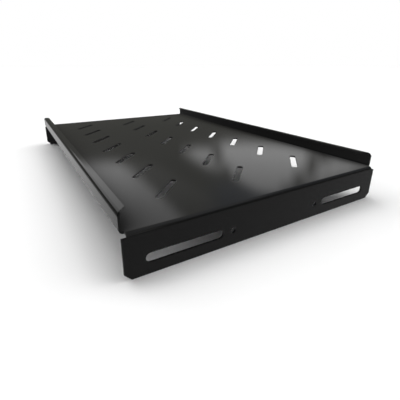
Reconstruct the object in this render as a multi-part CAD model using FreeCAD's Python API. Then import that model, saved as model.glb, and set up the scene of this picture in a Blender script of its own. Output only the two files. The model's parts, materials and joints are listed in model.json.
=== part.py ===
import FreeCAD, Part
import os
from FreeCAD import Vector

# A ventilated rack shelf folded from one steel sheet, in millimetres.
# X runs along the two flanges and Y from the slotted front flange to the plain rear one.
# The origin is on the floor under the middle of the shelf, which stands on its flanges' lower edges.

# Driving dimensions
width = 350.0             # outer face to outer face of the two rims
depth = 550.0             # outer face to outer face of the two flanges
sheet = 2.3               # steel thickness
bend_radius = 4.0         # outside of every fold
flange_height = 44.5      # lower edge of a flange to the top of the deck, one rack unit
flange_chamfer = 6.5      # the lower corners of the flanges are cut off at 45 degrees
rim_rise = 17.5           # top of a rim above the top of the deck
lip_width = 9.5           # outer face of a rim to the tip of its turned-in lip
lip_cutback = 9.5         # a lip's tip stops this far short of the rim's end
corner_relief = 4.5       # the deck and its folds stop this far short of the flanges' ends
rim_setback = 6.0         # a rim's end stops this far short of the flange's outer face

vent_length = 56.0        # deck slots, end to end
vent_width = 8.0
vent_angle = 45.0         # from the flanges' direction
vent_columns = 3
vent_rows = 7
vent_column_pitch = 100.0
vent_row_pitch = 68.0

mount_height = 16.0       # middle of the slots and pilot holes above the front flange's lower edge
mount_slot_length = 82.0
mount_slot_width = 9.5
mount_slot_spacing = 228.0   # between the middles of the two slots
pilot_diameter = 6.5
pilot_spacing = 122.0        # between the two round holes

bend_inner = bend_radius - sheet
height = flange_height + rim_rise
clear = 10.0              # how far a cutting body runs past what it cuts


def box(x0, x1, y0, y1, z0, z1):
    return Part.makeBox(x1 - x0, y1 - y0, z1 - z0, Vector(x0, y0, z0))


def rounded_bar(axis, half_side, low, high, half_length, radius):
    """A bar lying along X or Y, with its four long edges rounded."""
    if axis == "X":
        bar = box(-half_length, half_length, -half_side, half_side, low, high)
    else:
        bar = box(-half_side, half_side, -half_length, half_length, low, high)
    run = Vector(1, 0, 0) if axis == "X" else Vector(0, 1, 0)
    long_edges = [e for e in bar.Edges if abs(e.tangentAt(e.FirstParameter).dot(run)) > 0.99]
    return bar.makeFillet(radius, long_edges)


def obround(length, breadth, thickness):
    """A slot-shaped block centred on the origin: long in X, broad in Y, extruded in Z."""
    half_run, radius = (length - breadth) / 2, breadth / 2
    a, b = Vector(-half_run, -radius, 0), Vector(half_run, -radius, 0)
    c, d = Vector(half_run, radius, 0), Vector(-half_run, radius, 0)
    outline = Part.Wire([
        Part.LineSegment(a, b).toShape(),
        Part.Arc(b, Vector(half_run + radius, 0, 0), c).toShape(),
        Part.LineSegment(c, d).toShape(),
        Part.Arc(d, Vector(-half_run - radius, 0, 0), a).toShape(),
    ])
    block = Part.Face(outline).extrude(Vector(0, 0, thickness))
    block.translate(Vector(0, 0, -thickness / 2))
    return block


def deck_with_flanges():
    """The deck and the two flanges folded down from it."""
    below = -4 * clear
    outside = rounded_bar("X", depth / 2, below, flange_height, width / 2, bend_radius)
    inside = rounded_bar("X", depth / 2 - sheet, below, flange_height - sheet, width, bend_inner)
    channel = outside.cut(inside)
    channel = channel.cut(box(-width, width, -depth, depth, below - clear, 0))
    for side in (-1, 1):
        # The folds and the deck stop short of the flanges' ends, which leaves square ears.
        ends = sorted((side * (width / 2 - corner_relief), side * (width / 2 + clear)))
        channel = channel.cut(
            box(*ends, -depth, depth, flange_height - bend_radius, flange_height + clear))
        # A triangular prism takes off the flanges' lower corner.
        corner = Vector(side * width / 2, -depth, 0)
        inward = Vector(-side * flange_chamfer, 0, 0)
        upward = Vector(0, 0, flange_chamfer)
        triangle = Part.makePolygon([corner, corner + inward, corner + upward, corner])
        channel = channel.cut(Part.Face(triangle).extrude(Vector(0, 2 * depth, 0)))
    return channel


def deck_with_rims():
    """The deck and the two rims folded up from it, each with its lip turned in."""
    underside = flange_height - sheet
    half_length = depth / 2 - rim_setback
    outside = rounded_bar("Y", width / 2, underside, height, half_length, bend_radius)
    inside = rounded_bar("Y", width / 2 - sheet, flange_height, height - sheet, depth, bend_inner)
    mouth = width / 2 - lip_width
    tray = outside.cut(inside)
    tray = tray.cut(box(-mouth, mouth, -depth, depth, height - 2 * sheet, height + clear))
    # Each end of a lip is cut slantwise, from the rim's end back to the lip's tip.
    for side in (-1, 1):
        for end in (-1, 1):
            rim_end = Vector(side * width / 2, end * half_length, height - bend_radius)
            lip_tip = rim_end + Vector(-side * lip_width, -end * lip_cutback, 0)
            lip_corner = rim_end + Vector(-side * lip_width, 0, 0)
            triangle = Part.makePolygon([rim_end, lip_tip, lip_corner, rim_end])
            tray = tray.cut(Part.Face(triangle).extrude(Vector(0, 0, bend_radius + clear)))
    return tray


def vents():
    """Cutting bodies for the deck's slanted slots, in rows and columns about its middle."""
    bodies = []
    for column in range(vent_columns):
        for row in range(vent_rows):
            vent = obround(vent_length, vent_width, 4 * sheet)
            vent.rotate(Vector(0, 0, 0), Vector(0, 0, 1), vent_angle)
            x = (column - (vent_columns - 1) / 2) * vent_column_pitch
            y = (row - (vent_rows - 1) / 2) * vent_row_pitch
            vent.translate(Vector(x, y, flange_height - sheet / 2))
            bodies.append(vent)
    return bodies


def front_openings():
    """Cutting bodies for the front flange's long slots and pilot holes."""
    bodies = []
    through = 2 * clear
    for side in (-1, 1):
        slot = obround(mount_slot_length, mount_slot_width, through)
        slot.rotate(Vector(0, 0, 0), Vector(1, 0, 0), 90)
        slot.translate(Vector(side * mount_slot_spacing / 2, -depth / 2, mount_height))
        pilot_start = Vector(side * pilot_spacing / 2, -depth / 2 - clear, mount_height)
        pilot = Part.makeCylinder(pilot_diameter / 2, through, pilot_start, Vector(0, 1, 0))
        bodies += [slot, pilot]
    return bodies


shelf = deck_with_flanges().fuse(deck_with_rims()).removeSplitter()
shelf = shelf.cut(Part.makeCompound(vents() + front_openings()))
solids = shelf.Solids
assert len(solids) == 1 and solids[0].isValid(), "the folded sheet must be one valid solid"

os.makedirs("parts", exist_ok=True)
solids[0].exportStep(os.path.join("parts", "shelf.step"))
bounds = solids[0].BoundBox
print("shelf", bounds, "volume", round(solids[0].Volume), "faces", len(solids[0].Faces))
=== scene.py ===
import json
import math

import bpy
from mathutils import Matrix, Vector
from mathutils.geometry import delaunay_2d_cdt


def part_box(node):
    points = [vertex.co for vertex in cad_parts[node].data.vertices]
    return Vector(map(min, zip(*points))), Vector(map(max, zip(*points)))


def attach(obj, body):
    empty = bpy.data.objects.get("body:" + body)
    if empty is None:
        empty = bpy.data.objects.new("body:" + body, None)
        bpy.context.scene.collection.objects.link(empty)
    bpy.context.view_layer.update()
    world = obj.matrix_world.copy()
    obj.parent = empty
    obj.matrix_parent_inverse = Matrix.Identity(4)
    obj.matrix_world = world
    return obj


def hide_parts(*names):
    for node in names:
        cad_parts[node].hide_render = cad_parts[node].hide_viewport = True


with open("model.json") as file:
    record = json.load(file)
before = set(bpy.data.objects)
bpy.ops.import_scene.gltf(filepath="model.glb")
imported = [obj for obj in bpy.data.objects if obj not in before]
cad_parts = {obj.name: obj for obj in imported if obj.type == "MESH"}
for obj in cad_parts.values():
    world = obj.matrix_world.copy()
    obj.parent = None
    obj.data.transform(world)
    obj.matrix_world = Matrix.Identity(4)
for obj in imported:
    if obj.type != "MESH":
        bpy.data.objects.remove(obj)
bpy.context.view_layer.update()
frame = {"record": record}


# ---- The folded sheet ------------------------------------------------------------------------
# The whole shelf is one 2.3 mm steel sheet, laser cut to a flat blank with its slots and holes,
# then folded: a flange down at the front and back of the deck, and a rim with a turned-in lip up
# along each side. The cut edges are lightly deburred before the shelf is powder coated.

shelf_low, shelf_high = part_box("shelf")
half_width, half_depth, rim_top = shelf_high.x, shelf_high.y, shelf_high.z

MM = 0.001
SHEET = 2.3 * MM
BEND_RADIUS = 4.0 * MM          # outside of every fold
DECK_TOP = 44.5 * MM
FLANGE_CHAMFER = 6.5 * MM
LIP_WIDTH = 9.5 * MM
LIP_CUTBACK = 9.5 * MM
CORNER_RELIEF = 4.5 * MM        # from a flange's end to its fold's end
RIM_SETBACK = 6.0 * MM          # from a flange's outer face to a rim's end
VENT_LENGTH, VENT_WIDTH, VENT_ANGLE = 56.0 * MM, 8.0 * MM, math.radians(45)
VENT_COLUMNS, VENT_COLUMN_PITCH = 3, 100.0 * MM
VENT_ROWS, VENT_ROW_PITCH = 7, 68.0 * MM
FOLD_STEPS = 10
ROUND_STEPS = 16                # per half turn of a slot's end
EDGE_ROUND = 0.12 * MM
SAME_PLACE = 1e-7               # metres within which two points of the blank are one

mid_radius = BEND_RADIUS - SHEET / 2
fold_run = mid_radius * math.pi / 2
deck_half_x = half_width - BEND_RADIUS
deck_half_y = half_depth - BEND_RADIUS
flange_run = DECK_TOP - BEND_RADIUS
wall_run = rim_top - (DECK_TOP - SHEET) - 2 * BEND_RADIUS
lip_run = LIP_WIDTH - BEND_RADIUS

# Distances from the deck's middle across the flat blank, at each fold's two sides.
wall_start = deck_half_x + fold_run
wall_end = wall_start + wall_run
lip_start = wall_end + fold_run
lip_end = lip_start + lip_run
bend_end = half_width - CORNER_RELIEF
flange_start = deck_half_y + fold_run
flange_end = flange_start + flange_run


def fold_lines(start):
    """The distances of a fold's crease lines, from the one at its start to the one at its end."""
    return [start + fold_run * step / FOLD_STEPS for step in range(FOLD_STEPS + 1)]


def lip_cut(distance):
    """How far along the rim the blank reaches, at this distance from the deck's middle."""
    rim_half = half_depth - RIM_SETBACK
    if distance <= wall_end:
        return rim_half
    if distance < lip_start:
        turn = (distance - wall_end) / mid_radius
        inset = BEND_RADIUS - mid_radius * math.cos(turn)
    else:
        inset = BEND_RADIUS + distance - lip_start
    return rim_half - LIP_CUTBACK * inset / LIP_WIDTH


def blank_corner():
    """The flat blank's outline over one quarter, from the flange's middle to the lip's tip."""
    corner = [(half_width - FLANGE_CHAMFER, flange_end),
              (half_width, flange_end - FLANGE_CHAMFER),
              (half_width, flange_start)]
    corner += [(bend_end, v) for v in reversed(fold_lines(deck_half_y))]
    rim = fold_lines(deck_half_x) + fold_lines(wall_end) + [lip_end]
    corner += [(bend_end, lip_cut(0))] + [(u, lip_cut(u)) for u in rim]
    return corner


def mirrored(corner):
    """The whole outline, anticlockwise, from the quarter where both coordinates are positive."""
    right_front = [(u, -v) for u, v in corner]
    right_back = [(u, v) for u, v in reversed(corner)]
    left_back = [(-u, v) for u, v in corner]
    left_front = [(-u, -v) for u, v in reversed(corner)]
    return right_front + right_back + left_back + left_front


def slot_outline(centre, length, width, angle=0.0):
    """An obround's outline on the blank, clockwise as holes are."""
    run, radius = (length - width) / 2, width / 2
    points = []
    # Where the two half rounds of a plain hole meet, the shared point is given once.
    steps = ROUND_STEPS + (1 if run > 0 else 0)
    for end, start in ((1, math.pi / 2), (-1, -math.pi / 2)):
        for step in range(steps):
            turn = start - math.pi * step / ROUND_STEPS
            x, y = end * run + radius * math.cos(turn), radius * math.sin(turn)
            points.append((centre[0] + x * math.cos(angle) - y * math.sin(angle),
                           centre[1] + x * math.sin(angle) + y * math.cos(angle)))
    return points


def openings():
    """Every slot and hole in the blank: the deck's vents, then the front flange's bolt holes."""
    outlines = []
    for column in range(VENT_COLUMNS):
        for row in range(VENT_ROWS):
            centre = ((column - (VENT_COLUMNS - 1) / 2) * VENT_COLUMN_PITCH,
                      (row - (VENT_ROWS - 1) / 2) * VENT_ROW_PITCH)
            outlines.append(slot_outline(centre, VENT_LENGTH, VENT_WIDTH, VENT_ANGLE))
    for mount in frame["record"]["mounts"]:
        if mount["kind"] != "bolt_pattern":
            continue
        dims = mount["dims"]
        diameter = 2 * dims["hole_r_mm"] * MM
        length = dims.get("slot_length_mm", diameter / MM) * MM
        end = math.copysign(1, mount["axis"][1])
        height = mount["pos_m"][2]
        for side in (-1, 1):
            centre = (side * dims["spacing_x_mm"] * MM / 2, end * (flange_end - height))
            outlines.append(slot_outline(centre, length, diameter))
    return outlines


LEAST_MITRE = 0.35              # keeps a sharp corner's point from running far inwards


def inset_loop(loop, inset):
    """The loop moved into the sheet's metal by the inset, mitred at its corners."""
    moved = []
    count = len(loop)
    for i in range(count):
        here = Vector(loop[i])
        before = (here - Vector(loop[i - 1])).normalized()
        after = (Vector(loop[(i + 1) % count]) - here).normalized()
        inward = Vector((-before.y - after.y, before.x + after.x)).normalized()
        reach = inset / max(LEAST_MITRE, inward.dot(Vector((-before.y, before.x))))
        moved.append(tuple(here + inward * reach))
    return moved


def folded(u, v, w):
    """Where a point of the flat blank goes once it is folded. w is its height in the sheet."""
    side, end = math.copysign(1, u), math.copysign(1, v)
    x, y = abs(u), abs(v)
    if y > deck_half_y and x <= half_width + SAME_PLACE:
        turn = min((y - deck_half_y) / mid_radius, math.pi / 2)
        down = max(0.0, y - flange_start)
        reach = mid_radius + w
        return Vector((u, end * (deck_half_y + reach * math.sin(turn)),
                       DECK_TOP - BEND_RADIUS + reach * math.cos(turn) - down))
    if x > deck_half_x:
        turn = min((x - deck_half_x) / mid_radius, math.pi / 2)
        reach = mid_radius - w
        wall = min(max(0.0, x - wall_start), wall_run)
        px = deck_half_x + reach * math.sin(turn)
        pz = DECK_TOP - SHEET + BEND_RADIUS - reach * math.cos(turn) + wall
        if x > wall_end:
            turn = min((x - wall_end) / mid_radius, math.pi / 2)
            px = deck_half_x + reach * math.cos(turn) - max(0.0, x - lip_start)
            pz = rim_top - BEND_RADIUS + reach * math.sin(turn)
        return Vector((side * px, v, pz))
    return Vector((u, v, DECK_TOP - SHEET / 2 + w))


def inside(point, loop):
    """Whether a point of the blank lies inside a closed loop."""
    x, y = point
    hit = False
    for i in range(len(loop)):
        (x0, y0), (x1, y1) = loop[i - 1], loop[i]
        if (y0 > y) != (y1 > y) and x < x0 + (y - y0) * (x1 - x0) / (y1 - y0):
            hit = not hit
    return hit


def crease_lines(outline):
    """Pairs of the outline's points, one pair for each line across a fold, by their numbers."""
    def place(u, v):
        return round(u / SAME_PLACE), round(v / SAME_PLACE)

    number = {place(u, v): i for i, (u, v) in enumerate(outline)}
    pairs = set()
    for i, (u, v) in enumerate(outline):
        at_bend_end = abs(abs(u) - bend_end) < SAME_PLACE
        if at_bend_end and deck_half_y - SAME_PLACE <= v <= flange_start + SAME_PLACE:
            for end in (1, -1):
                ends = number[place(u, end * v)], number[place(-u, end * v)]
                pairs.add(tuple(sorted(ends)))
        in_rim = v > 0 and abs(u) >= deck_half_x - SAME_PLACE
        if in_rim and abs(v - lip_cut(abs(u))) < SAME_PLACE:
            pairs.add(tuple(sorted((i, number[place(u, -v)]))))
    return pairs


def flat_skin(loops, creases):
    """The blank's face as polygons on the loops' points, each polygon a list of their numbers."""
    flat, edges = [], []
    for loop in loops:
        first = len(flat)
        flat += [Vector(point) for point in loop]
        edges += [(first + i, first + (i + 1) % len(loop)) for i in range(len(loop))]
    edges = sorted(creases.union(edges))
    points, _, faces, origins, _, _ = delaunay_2d_cdt(flat, edges, [], 0, SAME_PLACE)
    assert len(points) == len(flat), "the fold lines only join points of the outline"
    kept = []
    for face in faces:
        corners = [points[i] for i in face]
        middle = sum(corners, Vector((0, 0))) / len(corners)
        if inside(middle, loops[0]) and not any(inside(middle, hole) for hole in loops[1:]):
            kept.append([origins[i][0] for i in face])
    return kept


def folded_sheet_mesh():
    """The folded sheet: its two faces, and its cut edges rounded by a point midway round."""
    loops = [mirrored(blank_corner())] + openings()
    half = SHEET / 2
    midway = EDGE_ROUND * (1 - math.sqrt(0.5))
    levels = [(EDGE_ROUND, half), (midway, half - midway), (0.0, half - EDGE_ROUND),
              (0.0, EDGE_ROUND - half), (midway, midway - half), (EDGE_ROUND, -half)]
    skins = [inset_loop(loop, EDGE_ROUND) for loop in loops]
    kept = flat_skin(skins, crease_lines(loops[0]))
    verts, rings = [], []
    for inset, height in levels:
        ring = []
        for loop in loops:
            first = len(verts)
            verts += [folded(u, v, height) for u, v in inset_loop(loop, inset)]
            ring.append(range(first, len(verts)))
        rings.append(ring)
    bottom = rings[-1][0][0]
    polygons = [tuple(face) for face in kept]
    polygons += [tuple(bottom + i for i in reversed(face)) for face in kept]
    for upper, lower in zip(rings, rings[1:]):
        for a, b in zip(upper, lower):
            for i in range(len(a)):
                j = (i + 1) % len(a)
                polygons.append((a[j], a[i], b[i], b[j]))
    mesh = bpy.data.meshes.new("folded_sheet")
    mesh.from_pydata(verts, [], polygons)
    mesh.validate()
    return mesh


sheet_piece = bpy.data.objects.new("shelf_sheet", folded_sheet_mesh())
bpy.context.scene.collection.objects.link(sheet_piece)
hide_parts("shelf")
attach(sheet_piece, "root")
sheet_piece.visible_glossy = False

for face in sheet_piece.data.polygons:
    face.use_smooth = True
flat_faces = sheet_piece.modifiers.new("flat_faces_stay_flat", "WEIGHTED_NORMAL")
flat_faces.mode = "FACE_AREA"
flat_faces.weight = 100


COAT_BLACK = (0.005, 0.005, 0.005, 1.0)
COAT_IOR = 1.35
COAT_ROUGHNESS = 0.06, 0.09     # from the glossiest patches to the dullest
GLOSS_PATCHES = 14.0            # to the metre
SHINE = 0.5
SHADED_CORNER_SHINE = 0.02             # painted shade: the shine left deep in an inside corner of a face that looks up
CORNER_REACH = 50.0 * MM        # how far from a corner its shine begins to fade
CORNER_FADE = 5.0               # how fast it fades
PEEL_BUMPS = 900.0              # to the metre
PEEL_DEPTH, PEEL_STRENGTH = 0.06 * MM, 0.08


def powder_coat():
    """Semi-gloss black powder coat with a faint orange peel and gloss that varies a little. Its
    shine is dimmed towards the inside corners by an ambient occlusion node, as painted shade on
    the reflections there. Only faces that look up are dimmed; upright faces keep their full
    shine."""
    material = bpy.data.materials.new("black_powder_coat")
    material.use_nodes = True
    nodes, links = material.node_tree.nodes, material.node_tree.links
    paint = nodes["Principled BSDF"]
    paint.inputs["Base Color"].default_value = COAT_BLACK
    paint.inputs["IOR"].default_value = COAT_IOR
    place = nodes.new("ShaderNodeTexCoord")

    gloss_clouds = nodes.new("ShaderNodeTexNoise")
    gloss_clouds.inputs["Scale"].default_value = GLOSS_PATCHES
    gloss_clouds.inputs["Detail"].default_value = 3.0
    gloss = nodes.new("ShaderNodeMapRange")
    gloss.inputs["To Min"].default_value, gloss.inputs["To Max"].default_value = COAT_ROUGHNESS
    links.new(place.outputs["Object"], gloss_clouds.inputs["Vector"])
    links.new(gloss_clouds.outputs["Fac"], gloss.inputs["Value"])
    links.new(gloss.outputs["Result"], paint.inputs["Roughness"])

    # Painted shade: an ambient occlusion node dims the shine of faces that look up near inside
    # corners, darkening their reflections there.
    corner = nodes.new("ShaderNodeAmbientOcclusion")
    corner.only_local = True
    corner.inputs["Distance"].default_value = CORNER_REACH
    unshaded_share = nodes.new("ShaderNodeMath")
    unshaded_share.operation = "POWER"
    unshaded_share.inputs[1].default_value = CORNER_FADE
    facing = nodes.new("ShaderNodeSeparateXYZ")
    shaded_shine = nodes.new("ShaderNodeMapRange")
    shaded_shine.inputs["To Min"].default_value = SHINE
    shaded_shine.inputs["To Max"].default_value = SHADED_CORNER_SHINE
    shine = nodes.new("ShaderNodeMix")
    shine.inputs["B"].default_value = SHINE
    links.new(corner.outputs["AO"], unshaded_share.inputs[0])
    links.new(place.outputs["Normal"], facing.inputs["Vector"])
    links.new(facing.outputs["Z"], shaded_shine.inputs["Value"])
    links.new(unshaded_share.outputs["Value"], shine.inputs["Factor"])
    links.new(shaded_shine.outputs["Result"], shine.inputs["A"])
    links.new(shine.outputs["Result"], paint.inputs["Specular IOR Level"])

    peel = nodes.new("ShaderNodeTexNoise")
    peel.inputs["Scale"].default_value = PEEL_BUMPS
    peel.inputs["Detail"].default_value = 2.0
    bump = nodes.new("ShaderNodeBump")
    bump.inputs["Strength"].default_value = PEEL_STRENGTH
    bump.inputs["Distance"].default_value = PEEL_DEPTH
    links.new(place.outputs["Object"], peel.inputs["Vector"])
    links.new(peel.outputs["Fac"], bump.inputs["Height"])
    links.new(bump.outputs["Normal"], paint.inputs["Normal"])
    return material


sheet_piece.data.materials.append(powder_coat())


# ---- The floor -------------------------------------------------------------------------------
# A plain matt white floor that runs out of sight in every direction. The shelf stands on it by
# its flanges' lower edges, a hair above it. The gloss of the paint doesn't mirror it.

FLOOR_SIZE = 60.0
FLOOR_WHITE = 0.95
FLOOR_GAP = 0.2 * MM
bpy.ops.mesh.primitive_plane_add(size=FLOOR_SIZE, location=(0, 0, shelf_low.z - FLOOR_GAP))
floor = bpy.context.object
floor.name = "studio_floor"
floor.visible_glossy = False
floor_paint = bpy.data.materials.new("white_floor")
floor_paint.use_nodes = True
floor_shader = floor_paint.node_tree.nodes["Principled BSDF"]
floor_shader.inputs["Base Color"].default_value = (FLOOR_WHITE, FLOOR_WHITE, FLOOR_WHITE, 1.0)
floor_shader.inputs["Roughness"].default_value = 1.0
floor_shader.inputs["Specular IOR Level"].default_value = 0.0
floor.data.materials.append(floor_paint)


# ---- The studio ------------------------------------------------------------------------------
# Five wide soft lamps stand round and above the shelf. Around the floor is a dark hall, out of
# the camera's sight, that glows with painted white windows. It is no lamp, lights nothing and
# casts no shadow, and the gloss of the paint mirrors it as painted reflections. The world is
# white wherever it is looked at, and lights nothing.

studio = bpy.data.worlds.new("studio")
bpy.context.scene.world = studio
studio.use_nodes = True
world_nodes, world_links = studio.node_tree.nodes, studio.node_tree.links
rays = world_nodes.new("ShaderNodeLightPath")
seen = world_nodes.new("ShaderNodeMath")
seen.operation = "MAXIMUM"
seen_through = world_nodes.new("ShaderNodeMath")
seen_through.operation = "MAXIMUM"
world_links.new(rays.outputs["Is Camera Ray"], seen.inputs[0])
world_links.new(rays.outputs["Is Glossy Ray"], seen.inputs[1])
world_links.new(seen.outputs["Value"], seen_through.inputs[0])
world_links.new(rays.outputs["Is Transmission Ray"], seen_through.inputs[1])
world_links.new(seen_through.outputs["Value"], world_nodes["Background"].inputs["Strength"])
world_nodes["Background"].inputs["Color"].default_value = (1.0, 1.0, 1.0, 1.0)

LAMP_SPREAD = math.radians(50)


def toward(bearing, rise):
    """The direction of a thing seen from the shelf: degrees right of straight back, and up."""
    turn, lift = math.radians(bearing), math.radians(rise)
    return Vector((math.sin(turn) * math.cos(lift), math.cos(turn) * math.cos(lift),
                   math.sin(lift)))


def soft_lamp(name, bearing, rise, level):
    """A distant lamp that lights a white surface facing it to the level, where 1 is white."""
    lamp = bpy.data.lights.new(name, "SUN")
    lamp.angle = LAMP_SPREAD
    lamp.energy = level * math.pi
    lamp_object = bpy.data.objects.new(name, lamp)
    lamp_object.rotation_euler = toward(bearing, rise).to_track_quat("Z", "Y").to_euler()
    lamp_object.visible_glossy = False
    bpy.context.scene.collection.objects.link(lamp_object)


soft_lamp("back_lamp", 0, 50, 0.332)
soft_lamp("top_lamp", 0, 75, 0.279)
soft_lamp("left_lamp", 315, 25, 0.419)
soft_lamp("right_lamp", 90, 50, 0.317)
soft_lamp("front_lamp", 135, 50, 0.228)

# The hall's places are given in degrees: bearings right of straight back, and rises.
HALL_RADIUS = 20.0              # metres
HALL_START, HALL_REPEAT = -29, 180          # each set of windows starts here, and comes again
WINDOW_BLUR = 3.0               # over which a window's side fades into the wall

LOW_WALL, HIGH_WALL = Vector((0.120, 0.120, 0.109)), Vector((0.236, 0.236, 0.217))
WALL_RISES = 11, 24             # between which the wall goes from its low shade to its high one
BLUE_WALL = Vector((0.228, 0.240, 0.259))
BLUE_BEARINGS, BLUE_RISES = (33, 38), (20, 23)
CEILING_GLOW = 0.42             # how much lighter the ceiling is than the walls
CEILING_RISES = 40, 52

TALL_WINDOW = [(-22, 17.3), (16.3, 17.3), (31.4, 31.4), (-22, 31.4)]
TALL_LIGHT = 0.90               # how bright the tall window is where a thin curtain veils it
CLEAR_LIGHT = 0.18              # how much brighter it is clear of the curtain
VEIL_BEARINGS = 15, 19
CURTAIN = [(16, 17.3), (21.5, 17.3), (36, 25), (36, 32), (16, 32)]
LEFT_PANE = [(29.6, 15.3), (31.8, 14.8), (35.3, 15.0), (35.8, 16.7), (37.2, 19.2), (36.2, 19.8),
             (29.6, 16.5)]
MIDDLE_PANE = [(35.9, 14.0), (53.8, 13.6), (53.5, 17), (51.3, 20.2), (49.2, 22.9), (45, 23.3),
               (41.5, 22), (37.8, 18.9), (36.3, 15.8)]
RIGHT_PANE = [(55.8, 14.8), (63, 14.8), (62, 17), (54.3, 21), (52.6, 20), (54.6, 17.5)]
# Each of the smaller outlines with how bright it is.
SMALL_WINDOWS = [(CURTAIN, 0.10), (LEFT_PANE, 0.90), (MIDDLE_PANE, 1.02), (RIGHT_PANE, 0.90)]

# The hall's floor is painted with pools of light, each with its bearing, its width and how
# bright it is. With its painted light and shade, it stands in for the real floor in the paint's
# reflections.
FLOOR_SHADE = 0.16
FLOOR_GLOWS = [(-8, 13, 0.45), (-75, 16, 0.40), (85, 20, 0.14), (150, 50, 0.24)]
SKIRTING_RISES = -8, 0          # between which the floor's shade gives way to the wall's


def soft_window(spot, corners):
    """How much of a window is seen at a spot of the wall, with its sides out of focus."""
    light = 1.0
    for i in range(len(corners)):
        start, end = Vector(corners[i - 1]), Vector(corners[i])
        side = (end - start).normalized()
        reach = side.x * (spot.y - start.y) - side.y * (spot.x - start.x)
        t = min(1.0, max(0.0, reach / WINDOW_BLUR + 0.5))
        light *= t * t * (3 - 2 * t)
    return light


def share(value, low, high):
    """How far a value has gone from low to high, held between 0 and 1."""
    return min(1.0, max(0.0, (value - low) / (high - low)))


def hall_shade(bearing, rise):
    """The hall's painted glow in one direction from the shelf, as the paint's reflections show
    it.
    """
    spot = Vector(((bearing - HALL_START) % HALL_REPEAT + HALL_START, rise))
    wall = LOW_WALL.lerp(HIGH_WALL, share(rise, *WALL_RISES))
    wall = wall.lerp(BLUE_WALL, share(spot.x, *BLUE_BEARINGS) * share(rise, *BLUE_RISES))
    wall += Vector((1, 1, 1)) * CEILING_GLOW * share(rise, *CEILING_RISES)
    clear = 1 - share(spot.x, *VEIL_BEARINGS)
    light = (TALL_LIGHT + CLEAR_LIGHT * clear) * soft_window(spot, TALL_WINDOW)
    for corners, level in SMALL_WINDOWS:
        light += level * soft_window(spot, corners)
    wall = wall * max(0.0, 1.0 - light) + Vector((light, light, light))
    ground = FLOOR_SHADE
    for middle, width, level in FLOOR_GLOWS:
        away = (bearing - middle + 180) % 360 - 180
        ground += level * math.exp(-(away / width) ** 2)
    return Vector((ground, ground, ground)).lerp(wall, share(rise, *SKIRTING_RISES))


# The hall is a dome of rings, which lie closest at the height of the windows.
bearings = range(0, 360, 2)
rises = [-89, -60, -40, -30, -20, *range(-10, 36), 40, 50, 60, 70, 80, 89]
directions = [(bearing, rise) for rise in rises for bearing in bearings]
columns = len(bearings)
dome_faces = []
for row in range(0, len(directions) - columns, columns):
    for column in range(columns):
        beside = (column + 1) % columns
        dome_faces.append((row + column, row + beside,
                           row + columns + beside, row + columns + column))
hall_mesh = bpy.data.meshes.new("hall")
hall_mesh.from_pydata([toward(*direction) * HALL_RADIUS for direction in directions], [],
                      dome_faces)
shade = hall_mesh.color_attributes.new("shade", "FLOAT_COLOR", "POINT")
for corner, direction in zip(shade.data, directions):
    corner.color = (*hall_shade(*direction), 1.0)
hall_paint = bpy.data.materials.new("hall")
hall_paint.use_nodes = True
hall_nodes, hall_links = hall_paint.node_tree.nodes, hall_paint.node_tree.links
hall_nodes.remove(hall_nodes["Principled BSDF"])
shade_read = hall_nodes.new("ShaderNodeVertexColor")
shade_read.layer_name = "shade"
glow = hall_nodes.new("ShaderNodeEmission")
hall_links.new(shade_read.outputs["Color"], glow.inputs["Color"])
hall_links.new(glow.outputs["Emission"], hall_nodes["Material Output"].inputs["Surface"])
hall_mesh.materials.append(hall_paint)
hall = bpy.data.objects.new("hall", hall_mesh)
hall.visible_camera = False
hall.visible_diffuse = False
hall.visible_shadow = False
bpy.context.scene.collection.objects.link(hall)


# ---- The camera ------------------------------------------------------------------------------
# It stands close to the shelf's left front corner, a little above it, with a wide lens, and
# looks down along the deck and to the right. A small shift centres the shelf in the frame.

SENSOR_WIDTH, FOCAL_LENGTH = 36.0, 27.125       # millimetres
FRAME_SHIFT = 0.0275, -0.0794
CAMERA_LEFT, CAMERA_BEFORE, CAMERA_HEIGHT = 0.2330, 0.2080, 0.1722
LOOK_DOWN, LOOK_RIGHT = 0.3270, 0.5251          # radians
camera_data = bpy.data.cameras.new("camera")
camera_data.sensor_width = SENSOR_WIDTH
camera_data.lens = FOCAL_LENGTH
camera_data.shift_x, camera_data.shift_y = FRAME_SHIFT
camera_data.clip_start = 0.01
camera = bpy.data.objects.new("camera", camera_data)
camera.location = (-CAMERA_LEFT, -half_depth - CAMERA_BEFORE, CAMERA_HEIGHT)
camera.rotation_euler = (math.pi / 2 - LOOK_DOWN, 0.0, -LOOK_RIGHT)
bpy.context.scene.collection.objects.link(camera)
bpy.context.scene.camera = camera
bpy.context.scene.view_settings.view_transform = "Standard"
